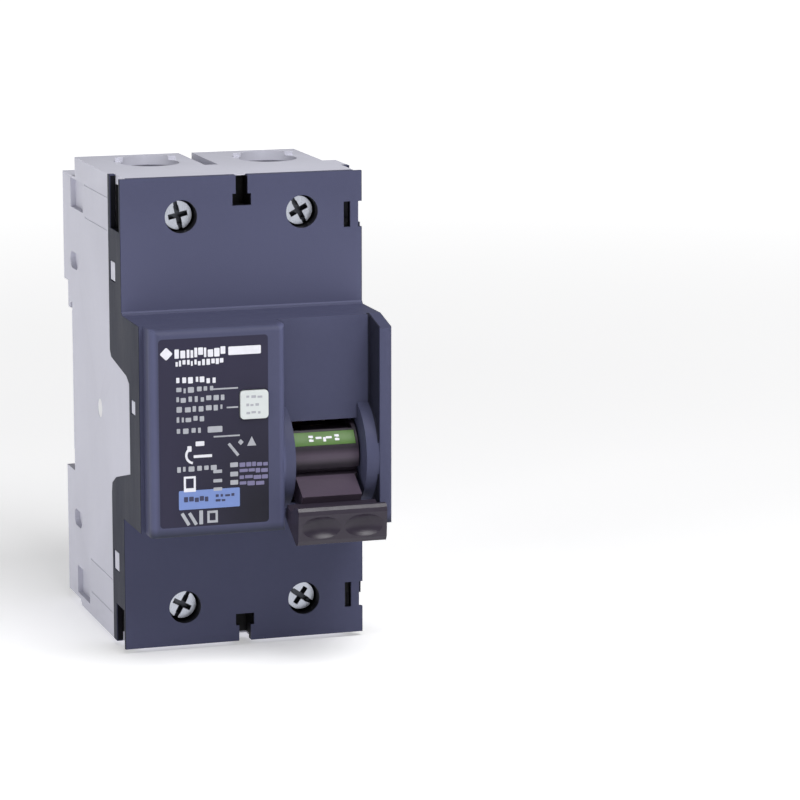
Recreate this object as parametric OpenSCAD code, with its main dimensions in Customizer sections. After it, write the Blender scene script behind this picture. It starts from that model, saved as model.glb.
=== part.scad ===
// Two-pole residual current device for a 35 mm rail.
// +Z up, front towards -Y. The origin is the middle of the plane where the device seats on the rail.

/* [Case] */
// Width of one pole
pole_w = 27; // [26:0.5:28]
// Height of the case
case_h = 103; // [101:0.5:105]
// Depth from the rail plane to the front of the shoulders
shoulder_depth = 47.6; // [47:0.1:49]
// Depth from the rail plane to the front of the nose
nose_depth = 69.6; // [69:0.1:71]
// Height of the nose
nose_h = 44.6; // [44:0.1:45.4]
// Depth of the pads behind the rail plane
pad_depth = 7.5; // [7:0.1:8]
// Thickness of the case side walls
wall_t = 1.5; // [1.3:0.1:1.8]

/* [Rail] */
// Height of the rail that the device clips on
rail_h = 35; // [34.8:0.1:35.2]
// Travel of each rail clip
clip_travel = 4; // [3:0.5:4.5]

/* [Cover] */
// Thickness of the cover's shoulder plates
plate_t = 2; // [1.8:0.1:2.2]
// Thickness of the cover's side rims
rim_t = 1.3; // [1.1:0.1:1.4]
// Depth of the cover's side rims behind the shoulder front
rim_depth = 11; // [10:0.5:12]
// Depth of the toggle well behind the nose front
well_depth = 7.6; // [7:0.1:8]
// Diameter of the screw access holes
access_d = 7.2; // [7:0.1:7.6]

/* [Toggle] */
// Height of the toggle axis, below the rail centre
toggle_drop = 8; // [7.5:0.1:8.5]
// Depth of the toggle axis
toggle_depth = 57.5; // [57:0.1:58]
// Radius of the toggle drum
drum_r = 7.5; // [7:0.1:7.6]
// Width of the lever
lever_w = 13.2; // [12:0.1:13.6]
// Width of the grip block
grip_w = 19.6; // [18:0.1:19.8]
// Angle of the lever below horizontal when off
lever_drop = 31; // [29:1:33]

/* [Terminals] */
// Height of the terminal screws above and below the rail centre
terminal_z = 43; // [42.5:0.1:43.5]
// Diameter of the clamp screw shanks
screw_d = 5; // [4.5:0.1:5.5]
// Travel of the clamp cages
cage_travel = 7; // [5:0.5:7]
// Diameter of the cable tunnels
tunnel_d = 11; // [10:0.5:12]

/* [Test button] */
// Width of the test button
button_w = 6.1; // [5.5:0.1:6.3]
// Height of the button centre above the rail centre
button_z = 5.6; // [5:0.1:6]
// Travel of the test button
button_travel = 1.5; // [1:0.1:1.6]

/* [Hidden] */
$fn = 48;

// Cut-outs run this far past the faces that they open
past = 0.5;
// Running clearance on each side of a shaft
run = 0.05;

case_c = "#c9cad4";
cover_c = "#4a4d66";
dark_c = "#2b2831";
steel_c = "#b4b8bd";
copper_c = "#c07b4f";
brass_c = "#c9a45a";

half_w = pole_w;
pole_x = pole_w / 2;
z_top = case_h / 2;
z_nose = nose_h / 2;
y_shoulder = -shoulder_depth;
y_plate = y_shoulder + plate_t;
y_rim = y_shoulder + rim_depth;
y_nose = -nose_depth;
y_well = y_nose + well_depth;
y_well_back = y_well + 2;

// Case: layers of the side walls, seen from the middle of the device outwards
x_under_rim = half_w - rim_t - 0.1;
x_cavity = x_under_rim - wall_t + 0.1;
y_case_nose = -54;
z_case_nose = 20;
// Terminal chambers
chamber_half_w = 9;
chamber_back = -11;
chamber_low = 34;
chamber_high = 48.4;
tunnel_y = -20.5;
seal_d = tunnel_d + 1.9;
seal_floor = 49.4;
// Skin of the case over the cover's upper notches, and over its T-slot
notch_lip = 2;
slot_lip = 0.3;
// Step that separates the poles at the top
step_w = 3;
step_floor = 46.5;
// Current-carrying strips in the terminal chambers
strip_w = 10;
strip_front = -28.2;
strip_t = 2;
strip_back = strip_front + strip_t;
// Clamp cages: the threaded front wall, and the chamber's front wall that it travels towards
cage_nut = 3.5;
cage_front = strip_front - 0.1 - cage_nut;
chamber_front = cage_front - cage_travel - 0.1;

// Rail seat
z_rail = rail_h / 2;
hook_gap = 1.4;
hook_back = 3.6;
hook_grip = 1.1;
// Peg in the clip's channel, and the top of the clip's window above its spring
clip_peg = -45.5;
clip_spring_top = clip_peg + 7.7 + clip_travel;

// Toggle
toggle_x = pole_x;
toggle_y = -toggle_depth;
toggle_z = -toggle_drop;
drum_x0 = 5.9;
drum_x1 = 20.9;
pin_d = 3;
well_x0 = 3.2;
well_x1 = 24.2;
window_x0 = 5.5;
window_x1 = 21.3;
window_low = -18;
window_high = -0.2;
cheek_r = 12;
crank_r = 4.6;
link_d = 1.5;
link_x = 8.8;
link_len = 21;

// Contact shaft and arms
shaft_y = -36;
shaft_z = -12;
shaft_d = 5;
arm_t = 3;
tip_z = 21;
tip_d = 5;
tip_t = 1.2;
open_angle = 14;

// Trip bar and latch
bar_y = -44.5;
bar_z = 12;
bar_d = 3;
latch_x0 = 16.2;
latch_x1 = 17.4;
latch_y = -45.5;
latch_z = 1;

// Overcurrent coil, above the toggle drum
coil_z = 10;
coil_y0 = -58.6;
coil_y1 = -49.4;
plunger_r = 2;

// Residual current side, in the left pole
ring_x = -pole_x;
ring_y = -25.2;
ring_z0 = -26;
ring_z1 = -19.2;
board_y0 = -57.6;
board_y1 = -56;
button_x = -3.75;
stem_end = -59.9;

// Outline of the whole case seen from the side, as [depth, height]
case_outline = [[y_plate, z_top], [-5, z_top], [-5, 47], [pad_depth, 47], [pad_depth, 22.4],
    [hook_back, 22.4], [hook_back, z_rail - hook_grip], [hook_gap, z_rail - hook_grip],
    [hook_gap, z_rail + 0.25], [-0.3, z_rail + 0.25], [-0.3, 16], [0, 16], [0, -16], [-0.3, -16],
    [-0.3, -21], [pad_depth, -21], [pad_depth, -50.3], [-4, -50.3], [-5.5, -z_top],
    [y_plate, -z_top], [y_plate, -z_case_nose], [y_case_nose, -z_case_nose],
    [y_case_nose, z_case_nose], [y_plate, z_case_nose]];
// Front edge of the side wall where it lies flush with the cover's rim, from top to bottom
flush_edge = [[y_rim, z_top + past], [y_rim, 13], [-37.8, 11.7], [-44.2, 10.8], [-51.5, 9.8],
    [y_case_nose, 8.5], [y_case_nose, -11.2], [-40.8, -14.4], [-37.2, -16.3], [y_rim, -18.5],
    [y_rim, -z_top - past]];
mechanism_cavity = [[-60, 18.2], [-60, -18.2], [-44, -18.2], [-44, -31], [-12, -31], [-12, -22],
    [-2, -22], [-2, 22], [-12, 22], [-12, 31], [-44, 31], [-44, 18.2]];

// ---- Shared shapes ----

module side_plate(x0, x1) {
    translate([x0, 0, 0]) rotate([90, 0, 90]) linear_extrude(x1 - x0) children();
}
module box(low, high) {
    translate(low) cube(high - low);
}
module rod_x(x0, x1, d, y, z) {
    translate([x0, y, z]) rotate([0, 90, 0]) cylinder(d = d, h = x1 - x0);
}
module rod_y(y0, y1, d, x, z) {
    translate([x, y0, z]) rotate([-90, 0, 0]) cylinder(d = d, h = y1 - y0);
}
module rod_z(z0, z1, d, x, y) {
    translate([x, y, z0]) cylinder(d = d, h = z1 - z0);
}
// Cutter that rounds an edge parallel to X; sy and sz point from the edge into the solid
module edge_cut_x(x0, x1, y, z, r, sy, sz) {
    difference() {
        side_plate(x0, x1) translate([y - (sy > 0 ? 1 : r), z - (sz > 0 ? 1 : r)]) square(r + 1);
        rod_x(x0 - 1, x1 + 1, 2 * r, y + sy * r, z + sz * r);
    }
}
// Cutter that rounds an edge parallel to Z
module edge_cut_z(z0, z1, x, y, r, sx, sy) {
    difference() {
        box([x - (sx > 0 ? 1 : r), y - (sy > 0 ? 1 : r), z0],
            [x + (sx > 0 ? r : 1), y + (sy > 0 ? r : 1), z1]);
        rod_z(z0 - 1, z1 + 1, 2 * r, x + sx * r, y + sy * r);
    }
}
module rounded_square(w, h, r) {
    square([w - 2 * r, h], center = true);
    square([w, h - 2 * r], center = true);
    for (sx = [-1, 1], sz = [-1, 1]) translate([sx * (w / 2 - r), sz * (h / 2 - r)]) circle(r);
}
// Block with rounded edges along Y, centred on [x, z]
module rounded_y(y0, y1, x, z, w, h, r) {
    translate([x, y1, z]) rotate([90, 0, 0]) linear_extrude(y1 - y0) rounded_square(w, h, r);
}
// Closed tube around a list of rings, each a list of points
module tube(rings) {
    n = len(rings[0]);
    m = len(rings);
    polyhedron(
        points = [for (ring = rings) for (p = ring) p],
        faces = concat(
            [for (i = [0:m - 2]) for (k = [0:n - 1])
                [i * n + k, (i + 1) * n + k, (i + 1) * n + (k + 1) % n, i * n + (k + 1) % n]],
            [[for (k = [0:n - 1]) k]],
            [[for (k = [0:n - 1]) m * n - 1 - k]]));
}
// Coil spring along +Z from the origin
module coil(d, wire, length, turns) {
    steps = 14;
    tube([for (i = [0:turns * steps]) [for (k = [5:-1:0])
        let (t = 360 * i / steps, r = d / 2 - wire / 2 + wire / 2 * cos(60 * k))
        [r * cos(t), r * sin(t),
            wire / 2 + (length - wire) * i / (turns * steps) + wire / 2 * sin(60 * k)]]]);
}
// Flat woven strap, bent in the depth-height plane along the points of route
module strap(x, w, t, route) {
    m = len(route) - 1;
    tube([for (i = [0:m])
        let (a = route[max(i - 1, 0)], b = route[min(i + 1, m)], d = (b - a) / norm(b - a),
            n = [-d[1], d[0]] * t / 2, front = route[i] - n, back = route[i] + n)
        [[x - w / 2, front[0], front[1]], [x - w / 2, back[0], back[1]],
            [x + w / 2, back[0], back[1]], [x + w / 2, front[0], front[1]]]]);
}

// ---- Case shells ----

// Spaces inside one pole between x0 and x1; the pole's own middle plane is x = pole_x
module pole_spaces(x0, x1) {
    side_plate(x0, x1) polygon(mechanism_cavity);
    // Upper rear pocket and lower rear pocket
    box([x0, -9, 24.5], [x1, 6, 45.2]);
    box([x0, -9, -48.5], [x1, -1.8, -24.5]);
}
module terminal_spaces(s) {
    z0 = s > 0 ? chamber_low : -chamber_high;
    z1 = s > 0 ? chamber_high : -chamber_low;
    box([pole_x - chamber_half_w, chamber_front, z0], [pole_x + chamber_half_w, chamber_back, z1]);
    // Screw access, and the hole that guides the screw's shank
    rod_y(y_plate - past, chamber_front - 2.1, access_d, pole_x, s * terminal_z);
    rod_y(y_plate - past, chamber_front + past, screw_d + 2 * run, pole_x, s * terminal_z);
    // Cable tunnel and the seat of its seal
    for (range = [[chamber_high - past, z_top + past, tunnel_d], [seal_floor, z_top + 2, seal_d + 0.1]])
        rod_z(s > 0 ? range[0] : -range[1], s > 0 ? range[1] : -range[0], range[2], pole_x, tunnel_y);
    // Slot for the current-carrying strip
    box([pole_x - strip_w / 2 - 0.3, strip_front - 0.4, min(s * 30, s * 35)],
        [pole_x + strip_w / 2 + 0.3, s > 0 ? strip_back + 0.4 : strip_back + 2.4, max(s * 30, s * 35)]);
}
module clip_channel() {
    difference() {
        box([pole_x - 4.2, 1.2, -z_top - past], [pole_x + 4.2, 3.8, -17]);
        // Peg that the clip spring stands on
        box([pole_x - 1.3, 1, clip_peg], [pole_x + 1.3, 4, clip_peg + 1.5]);
    }
}
// Raised lips behind the cable entries, between x0 and x1
module collars(x0, x1) {
    for (s = [-1, 1]) {
        z0 = s * (z_top + 0.2) - 0.7;
        intersection() {
            rod_z(z0, z0 + 1.4, seal_d + 3, pole_x, tunnel_y);
            box([x0, tunnel_y + 4, z0 - 1], [x1, 0, z0 + 3]);
        }
    }
}
module side_details() {
    x_deep = half_w - 1.2;
    x_far = half_w + past;
    // Rear recesses, top and bottom, and the two small oval ones
    box([x_deep, -12.5, 39.8], [x_far, -0.4, 46.4]);
    box([x_deep, -13.5, -49.2], [x_far, -1.5, -42.8]);
    for (z = [27.8, -31.7]) side_plate(x_deep, x_far) union() {
        translate([-3, z]) square([3.6, 3.8], center = true);
        for (sy = [-1, 1]) translate([-3 + sy * 1.8, z]) circle(d = 3.8);
    }
    // Shallow step lines towards the cover
    for (z = [46.2, 39]) box([half_w - 0.1, -36, z], [x_far, -14.5, z + 0.35]);
    for (z = [-46, -38.5]) box([half_w - 0.1, -36, z], [x_far, -15.5, z + 0.35]);
}
// Snap tabs that show in the cover's side windows
module snap_tabs() {
    tab_x = half_w - 0.15;
    for (z = [30.8, -33.3]) box([x_under_rim - 0.5, -42.5, z - 2], [tab_x, -38.2, z + 2]);
    box([24.7, -59.6, 0.4], [x_under_rim, y_case_nose + 0.2, 7.4]);
    box([24.7, -59.1, 2.5], [tab_x, -55.7, 5.3]);
}
// Step on one side of a pole's top, between x0 and x1
module pole_step(x0, x1) {
    box([x0, -28, step_floor], [x1, 0, z_top + past]);
}
module outer_shell() {
    difference() {
        union() {
            side_plate(pole_x, x_under_rim) polygon(case_outline);
            intersection() {
                side_plate(x_under_rim - 0.5, half_w) polygon(case_outline);
                side_plate(x_under_rim - 1, half_w + 1)
                    polygon(concat(flush_edge, [[20, -z_top - past], [20, z_top + past]]));
            }
            collars(pole_x, half_w);
            snap_tabs();
        }
        pole_spaces(pole_x - past, x_cavity);
        for (s = [-1, 1]) terminal_spaces(s);
        clip_channel();
        side_details();
        side_notches(x_under_rim - 2.4, z_top - notch_lip);
        rivet_holes();
    }
}
module inner_shell() {
    difference() {
        union() {
            side_plate(0, pole_x) polygon(case_outline);
            collars(0, pole_x);
        }
        pole_spaces(wall_t, pole_x + past);
        for (s = [-1, 1]) terminal_spaces(s);
        clip_channel();
        rivet_holes();
        // Shaft, trip bar and conductor holes between the poles
        rod_x(-past, wall_t + past, shaft_d + 2 * run, shaft_y, shaft_z);
        rod_x(-past, wall_t + past, bar_d + 2 * run, bar_y, bar_z);
        box([-past, -43.6, -17.6], [wall_t + past, -41.4, -15.4]);
        box([-past, -26.3, -29.5], [wall_t + past, -24.1, -27.3]);
        // Room behind the cover's T-slots
        for (range = [[-z_top - past, -44.5], [44.5, z_top - slot_lip]])
            box([-past, y_plate - past, range[0]], [2.1, -40.6, range[1]]);
    }
}
module left_outer_shell() { color(case_c) mirror([1, 0, 0]) outer_shell(); }
module right_outer_shell() {
    color(case_c) difference() {
        outer_shell();
        pole_step(half_w - step_w, half_w + past);
    }
}
module left_inner_shell() {
    color(case_c) mirror([1, 0, 0]) difference() {
        inner_shell();
        pole_step(-past, step_w);
    }
}
module right_inner_shell() { color(case_c) inner_shell(); }

// Each rivet: depth, height, shank diameter, and how far out its heads sit
rivet_spots = [[-26.5, -1.7, 3, half_w], [-42, 36.5, 2, x_under_rim], [-42, -37.4, 2, x_under_rim]];
rivet_head = 0.8;
module rivet_holes() {
    for (r = rivet_spots) {
        rod_x(-past, half_w + past, r[2], r[0], r[1]);
        rod_x(r[3] - rivet_head, half_w + past, r[2] + 1.2, r[0], r[1]);
    }
}
module case_rivets() {
    color(steel_c) for (r = rivet_spots) {
        rod_x(-r[3] + 0.1, r[3] - 0.1, r[2], r[0], r[1]);
        for (x = [0.1 - r[3], r[3] - rivet_head])
            rod_x(x, x + rivet_head - 0.1, r[2] + 1.2, r[0], r[1]);
    }
}

// ---- Front cover ----

// Openings in the side rims next to the terminals; the upper one ends at the height z1
module side_notches(x0, z1) {
    box([x0, -46.7, 40], [half_w + past, -38.5, z1]);
    box([x0, -46.7, -z_top - past], [half_w + past, -39.6, -42.9]);
}
module side_rims() {
    difference() {
        for (z = [-z_top, z_nose - 0.5])
            box([-half_w, y_plate - 0.5, z], [half_w, y_rim - 0.15, z + z_top - z_nose + 0.5]);
        box([-half_w + rim_t, y_plate, -z_top - past], [half_w - rim_t, 0, z_top + past]);
    }
}
module nose_block() {
    difference() {
        box([-half_w, y_nose, -z_nose], [half_w, y_rim - 0.15, z_nose]);
        // Room for the case behind the nose, and the hollow behind the label and the well
        box([-half_w + rim_t, y_case_nose - 0.1, -z_case_nose - 0.3],
            [half_w - rim_t, 0, z_case_nose + 0.3]);
        for (z = [-23, 19]) box([-half_w + rim_t, y_plate, z], [half_w - rim_t, 0, z + 4]);
        box([-24.4, y_nose + 2, -z_case_nose - 0.3], [well_x0 - 1.8, y_case_nose, z_case_nose + 0.3]);
        box([well_x0 - 2, y_well_back, -z_case_nose - 0.3], [24.4, y_case_nose, z_case_nose + 0.3]);
        // The case's side walls lie flush in these cut-outs
        for (m = [0, 1]) mirror([m, 0, 0]) side_plate(x_under_rim, half_w + past)
            polygon(concat([for (p = flush_edge) [p[0] - 0.15, p[1]]], [[20, -z_top], [20, z_top]]));
        // Toggle well, open at the front, the top and the bottom
        box([well_x0, y_nose - past, -z_nose - past], [well_x1, y_well, z_nose + past]);
        // Step beside the label block
        box([-half_w - past, y_nose - past, -z_nose - past], [-half_w + 1, -63, z_nose + past]);
        // Rounded and sloped edges
        edge_cut_z(-z_nose - past, z_nose + past, -half_w + 1, y_nose, 2.2, 1, 1);
        edge_cut_z(-z_nose - past, z_nose + past, well_x0, y_nose, 1.2, -1, 1);
        edge_cut_z(-z_nose - past, z_nose + past, half_w, y_nose, 1, -1, 1);
        edge_cut_x(-half_w - past, half_w + past, y_nose, z_nose, 1.5, 1, -1);
        edge_cut_x(-half_w - past, half_w + past, y_nose, -z_nose, 1.2, 1, 1);
        side_plate(well_x1 - past, half_w + past) polygon([[-61, z_nose], [y_nose, z_nose - 2],
            [y_nose - 1, z_nose + 1], [-61, z_nose + 1]]);
        // Label seat
        rounded_y(y_nose - past, y_nose + 0.3, -12.5, 0.2, 23.8, 40.4, 0.8);
        // Pockets behind the front snap tabs
        for (m = [0, 1]) mirror([m, 0, 0])
            box([24.3, -60, 0.2], [half_w - rim_t, y_case_nose, 7.6]);
    }
}
module cheeks() {
    for (range = [[well_x0 - 0.5, window_x0], [window_x1, well_x1 + 0.5]]) intersection() {
        rod_x(range[0], range[1], 2 * cheek_r, toggle_y, toggle_z);
        box([0, y_nose, -z_nose], [half_w, y_well_back, z_nose]);
    }
}
// Square hole that the test button moves in, as deep as y1
module button_hole(y1) {
    rounded_y(y_nose - past, y1, button_x, button_z, button_w + 0.3, button_w + 0.3, 0.9);
}
module cover_holes() {
    for (sx = [-1, 1], sz = [-1, 1])
        rod_y(y_shoulder - past, y_plate + past, access_d, sx * pole_x, sz * terminal_z);
    // T-slots on the middle line
    box([-1.35, y_shoulder - past, 44.9], [1.35, y_plate + past, z_top + past]);
    box([-2.1, y_shoulder - past, 44.9], [2.1, y_plate + past, 47.5]);
    box([-1.35, y_shoulder - past, -z_top - past], [1.35, y_plate + past, -45.4]);
    box([-2.1, y_shoulder - past, -48], [2.1, y_plate + past, -45.4]);
    // Slots and edge notches near the right side
    for (z = [39.2, -45.7]) {
        box([22.9, y_shoulder - past, z], [24.4, y_plate + past, z + 5.6]);
        box([26.2, y_shoulder - past, z], [half_w + past, y_plate - 0.6, z + 5.6]);
    }
    for (m = [0, 1]) mirror([m, 0, 0]) {
        side_notches(half_w - rim_t - past, z_top + past);
        // Windows of the snap tabs
        for (z = [30.8, -33.3]) box([25, -42.7, z - 2.2], [half_w + past, -38, z + 2.2]);
        box([25, -59.3, 2.3], [half_w + past, -55.5, 5.5]);
    }
    // Toggle window and button hole
    box([window_x0, y_nose - past, window_low], [window_x1, y_well_back + past, window_high]);
    button_hole(y_nose + 3);
}
module front_cover() {
    color(cover_c) difference() {
        union() {
            for (z = [-z_top, z_nose - 0.5])
                box([-half_w, y_shoulder, z], [half_w, y_plate, z + z_top - z_nose + 0.5]);
            side_rims();
            nose_block();
            cheeks();
            // Fillet between the upper plate and the nose
            side_plate(-half_w, half_w) polygon([[y_shoulder + 0.1, z_nose + 0.8],
                [y_shoulder - 0.8, z_nose - 0.1], [y_shoulder + 0.5, z_nose - 0.5]]);
        }
        cover_holes();
    }
}
module rating_label() {
    color("#34344a") difference() {
        rounded_y(y_nose, y_nose + 0.3, -12.5, 0.2, 23.8, 40.4, 0.8);
        button_hole(y_nose + past);
    }
}

// ---- Cable seals, clips, screws and cages ----

module cable_seal() {
    color("#d4d5dc") difference() {
        rod_z(seal_floor, seal_floor + 0.9, seal_d, 0, 0);
        rod_z(seal_floor + 0.6, seal_floor + 2, seal_d - 2.4, 0, 0);
        for (a = [0, 60, 120]) rotate([0, 0, a + 90])
            box([-4.2, -0.25, seal_floor - 1], [4.2, 0.25, seal_floor + 2]);
        rod_z(seal_floor - 1, seal_floor + 2, 1.8, 0, 0);
    }
}
module seal_at(sx, sz) {
    translate([sx * pole_x, tunnel_y, 0]) mirror([0, 0, sz > 0 ? 0 : 1]) cable_seal();
}
module left_upper_seal() { seal_at(-1, 1); }
module right_upper_seal() { seal_at(1, 1); }
module left_lower_seal() { seal_at(-1, -1); }
module right_lower_seal() { seal_at(1, -1); }

module rail_clip(sx) {
    color("#e4e4e6") translate([sx * pole_x, 0, 0]) difference() {
        side_plate(-4, 4) polygon([[1.45, -z_rail + hook_grip - 0.2], [2, -z_rail + hook_grip],
            [3.55, -z_rail - 1], [3.55, -50], [1.45, -50]]);
        box([-1.6, 1, clip_peg - 0.9], [1.6, 4, clip_spring_top]);
        // Slot for a screwdriver
        box([-2.2, 1, -49], [2.2, 4, -47.6]);
    }
}
module left_rail_clip() { rail_clip(-1); }
module right_rail_clip() { rail_clip(1); }
module clip_spring(sx) {
    low = clip_peg + 1.55;
    color(steel_c) translate([sx * pole_x, 2.5, low]) coil(1.9, 0.35, clip_spring_top - 0.05 - low, 8);
}
module left_clip_spring() { clip_spring(-1); }
module right_clip_spring() { clip_spring(1); }

head_d = access_d - 1;
head_back = chamber_front - 2.15;
head_front = head_back - 3.6;
slot_w = 0.9;
cross_w = 1.15;
cross_len = 4.3;
// turn is the angle that the screw's slot stands at
module clamp_screw(sx, sz, turn) {
    color(steel_c) translate([sx * pole_x, 0, sz * terminal_z]) difference() {
        union() {
            rod_y(head_front, head_back, head_d, 0, 0);
            rod_y(head_back - 0.5, strip_front - run, screw_d, 0, 0);
        }
        // Slot, and the cross recess in its middle
        rotate([0, turn, 0]) {
            box([-head_d, head_front - past, -slot_w / 2], [head_d, head_front + 1.2, slot_w / 2]);
            for (a = [0, 90]) rotate([0, a, 0])
                box([-cross_len / 2, head_front - past, -cross_w / 2],
                    [cross_len / 2, head_front + 2.2, cross_w / 2]);
        }
    }
}
module left_upper_screw() { clamp_screw(-1, 1, 78); }
module right_upper_screw() { clamp_screw(1, 1, 62); }
module left_lower_screw() { clamp_screw(-1, -1, 118); }
module right_lower_screw() { clamp_screw(1, -1, 35); }

cage_wall = 1.5;
cage_back = -13.5;
cage_len = 8.6;
module clamp_cage(sx, sz) {
    color(brass_c) translate([sx * pole_x, 0, sz * terminal_z]) difference() {
        box([-strip_w / 2 - 0.3 - cage_wall, cage_front, -cage_len / 2],
            [strip_w / 2 + 0.3 + cage_wall, cage_back, cage_len / 2]);
        box([-strip_w / 2 - 0.3, cage_front + cage_nut, -cage_len],
            [strip_w / 2 + 0.3, cage_back - cage_wall, cage_len]);
        rod_y(cage_front - past, cage_front + cage_nut + past, screw_d + 2 * run, 0, 0);
    }
}
module left_upper_cage() { clamp_cage(-1, 1); }
module right_upper_cage() { clamp_cage(1, 1); }
module left_lower_cage() { clamp_cage(-1, -1); }
module right_lower_cage() { clamp_cage(1, -1); }

// ---- Toggle ----

module toggle_ring(x0, x1, r0, r1, a0, a1) {
    translate([x0, toggle_y, toggle_z]) rotate([90, 0, 90]) rotate([0, 0, a0])
        rotate_extrude(angle = a1 - a0) translate([r0, 0]) square([r1 - r0, x1 - x0]);
}
// Outline in the toggle's own frame: along the lever, and down from its top face
module lever_plate(x0, x1) {
    side_plate(x0, x1) translate([toggle_y, toggle_z]) rotate(180 + lever_drop) children();
}
lever_t = 5;
lever_end = 14.2;
strip_a0 = 134;
strip_a1 = 159;
strip_in = 0.6;
module toggle_handle() {
    color("#4b4758") difference() {
        union() {
            rod_x(drum_x0, drum_x1, 2 * drum_r, toggle_y, toggle_z);
            lever_plate(toggle_x - lever_w / 2, toggle_x + lever_w / 2)
                translate([4, 0]) square([lever_end - 4, lever_t]);
        }
        rod_x(drum_x0 - past, drum_x1 + past, pin_d + 2 * run, toggle_y, toggle_z);
        // Pocket of the contact indicator
        toggle_ring(drum_x0 + 0.5, drum_x1 - 0.5, drum_r - strip_in, drum_r + 1, strip_a0, strip_a1);
        // Relief over the indicator, and the groove between the drum and the lever
        toggle_ring(drum_x0 + 0.8, drum_x1 - 0.8, 5.9, drum_r + 1, 45, strip_a0 - 4);
        toggle_ring(drum_x0 - past, drum_x1 + past, 6.4, drum_r + 1, 198, 180 + lever_drop);
        // Room for the link, its crank hole, and the spring's recess
        rod_x(link_x - 0.9, link_x + 0.9, 12.4, toggle_y, toggle_z);
        toggle_ring(link_x - 0.9, link_x + 0.9, 5, drum_r + 1, 25, 100);
        rod_x(link_x, link_x + 3.2, link_d + 2 * run, toggle_y, toggle_z + crank_r);
        rod_x(17.4, drum_x1 + past, 8.6, toggle_y, toggle_z);
    }
}
module contact_indicator() {
    color("#46803a") toggle_ring(drum_x0 + 0.6, drum_x1 - 0.6, drum_r - strip_in + 0.02, drum_r,
        strip_a0 + 0.5, strip_a1 - 0.5);
}
// Front face of the grip, from its upper edge to its lower edge
grip_face = [[22.1, -2], [24.6, 2.9]];
grip_outline = [[lever_end, 1.8], [17, 1.2], [19.9, -2.6], [20.7, -3], [21.5, -2.7], grip_face[0],
    grip_face[1], [24.6, 4], [23.8, 4.8], [17.6, 5.1], [lever_end, lever_t]];
// Half width, half height and depth of the thumb scoops
scoop = [4.3, 2.42, 1.2];
module thumb_scoop() {
    ring_r = (scoop[0] ^ 2 + scoop[2] ^ 2) / (2 * scoop[2]);
    bead_r = (scoop[1] ^ 2 + scoop[2] ^ 2) / (2 * scoop[2]);
    middle = (grip_face[0] + grip_face[1]) / 2;
    slope = grip_face[1] - grip_face[0];
    rotate([180 + lever_drop, 0, 0]) translate([0, middle[0], middle[1]])
        rotate([-atan2(slope[0], slope[1]), 0, 0]) translate([0, ring_r - scoop[2], 0])
            rotate_extrude() translate([ring_r - bead_r, 0]) circle(bead_r);
}
module handle_grip() {
    color(dark_c) difference() {
        lever_plate(toggle_x - grip_w / 2, toggle_x + grip_w / 2) polygon(grip_outline);
        // One scoop on each side of the middle rib
        for (s = [-1, 1]) translate([toggle_x + s * 4.7, toggle_y, toggle_z]) thumb_scoop();
    }
}
module toggle_pin() {
    color(steel_c) rod_x(3.2, 23.6, pin_d, toggle_y, toggle_z);
}
module toggle_spring() {
    color(steel_c) translate([17.55, toggle_y, toggle_z]) rotate([0, 90, 0]) coil(7.4, 0.6, 3.2, 4);
}

// ---- Mechanism ----

frame_outline = [[-59.7, -10.6], [-59.7, 2], [-50, 18.2], [-41, 18.2], [-31, 2], [-31, -17.4],
    [-40.6, -17.4], [-40.6, -15.1], [-46, -15.1], [-48, -18.2], [-53, -18.2]];
module mechanism_frame() {
    color(steel_c) {
        difference() {
            for (x = [4.2, 21.6]) side_plate(x, x + 1) polygon(frame_outline);
            rod_x(3, 24, pin_d + 2 * run, toggle_y, toggle_z);
            rod_x(3, 24, shaft_d + 2 * run, shaft_y, shaft_z);
            rod_x(3, 24, bar_d + 2 * run, bar_y, bar_z);
        }
        // Latch pin and spacer
        rod_x(4.7, 22.1, 2, latch_y, latch_z);
        rod_x(4.7, 22.1, 2.4, -46.8, -12.5);
    }
}
module link_rod() {
    y = toggle_y;
    z = toggle_z + crank_r;
    color(steel_c) {
        rod_y(y, y + link_len, link_d - 0.2, link_x, z);
        for (end_y = [y, y + link_len]) rod_x(link_x - 0.85, link_x + 2.8, link_d, end_y, z);
    }
}
module latch() {
    color(steel_c) difference() {
        union() {
            rod_x(latch_x0, latch_x1, 4.8, latch_y, latch_z);
            side_plate(latch_x0, latch_x1) translate([latch_y, latch_z])
                polygon([[-2, 1], [-0.9, 8.4], [1.6, 8.4], [1.6, 7], [0.6, 6.4], [2, 0], [4.6, -6.5],
                    [3.2, -7.4], [-1, -2]]);
        }
        rod_x(latch_x0 - past, latch_x1 + past, 2 + 2 * run, latch_y, latch_z);
    }
}
module trip_bar() {
    color("#3c5c86") {
        rod_x(-20, 23.2, bar_d, bar_y, bar_z);
        // Fingers for the plunger and the relay pin, and the upper one for the bimetal
        for (x = [-15, 12]) box([x, bar_y - 1.7, bar_z - 4], [x + 3, bar_y - 0.5, bar_z]);
        box([17.6, bar_y - 0.7, bar_z], [20.4, bar_y + 2.4, bar_z + 4.4]);
    }
}
module contact_shaft() {
    color("#3a3a42") {
        rod_x(-20, 23.2, shaft_d, shaft_y, shaft_z);
        for (x = [-16.9, -11.9, 15.1]) rod_x(x, x + 1.8, 6.4, shaft_y, shaft_z);
        // Carrier plate with the window that the link drives
        difference() {
            side_plate(10.2, 11.8) translate([shaft_y, shaft_z]) union() {
                circle(3.2);
                polygon([[-3, 0], [-4, 11.6], [2.6, 11.6], [6.6, 6.6], [5.4, 1.6], [3, 0]]);
            }
            side_plate(10, 12) translate([shaft_y, shaft_z])
                polygon([[-2, 10.1], [1.5, 10.1], [4.9, 5.5], [3, 3.8], [1.6, 4.4], [-2, 7.6]]);
        }
    }
}
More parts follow.
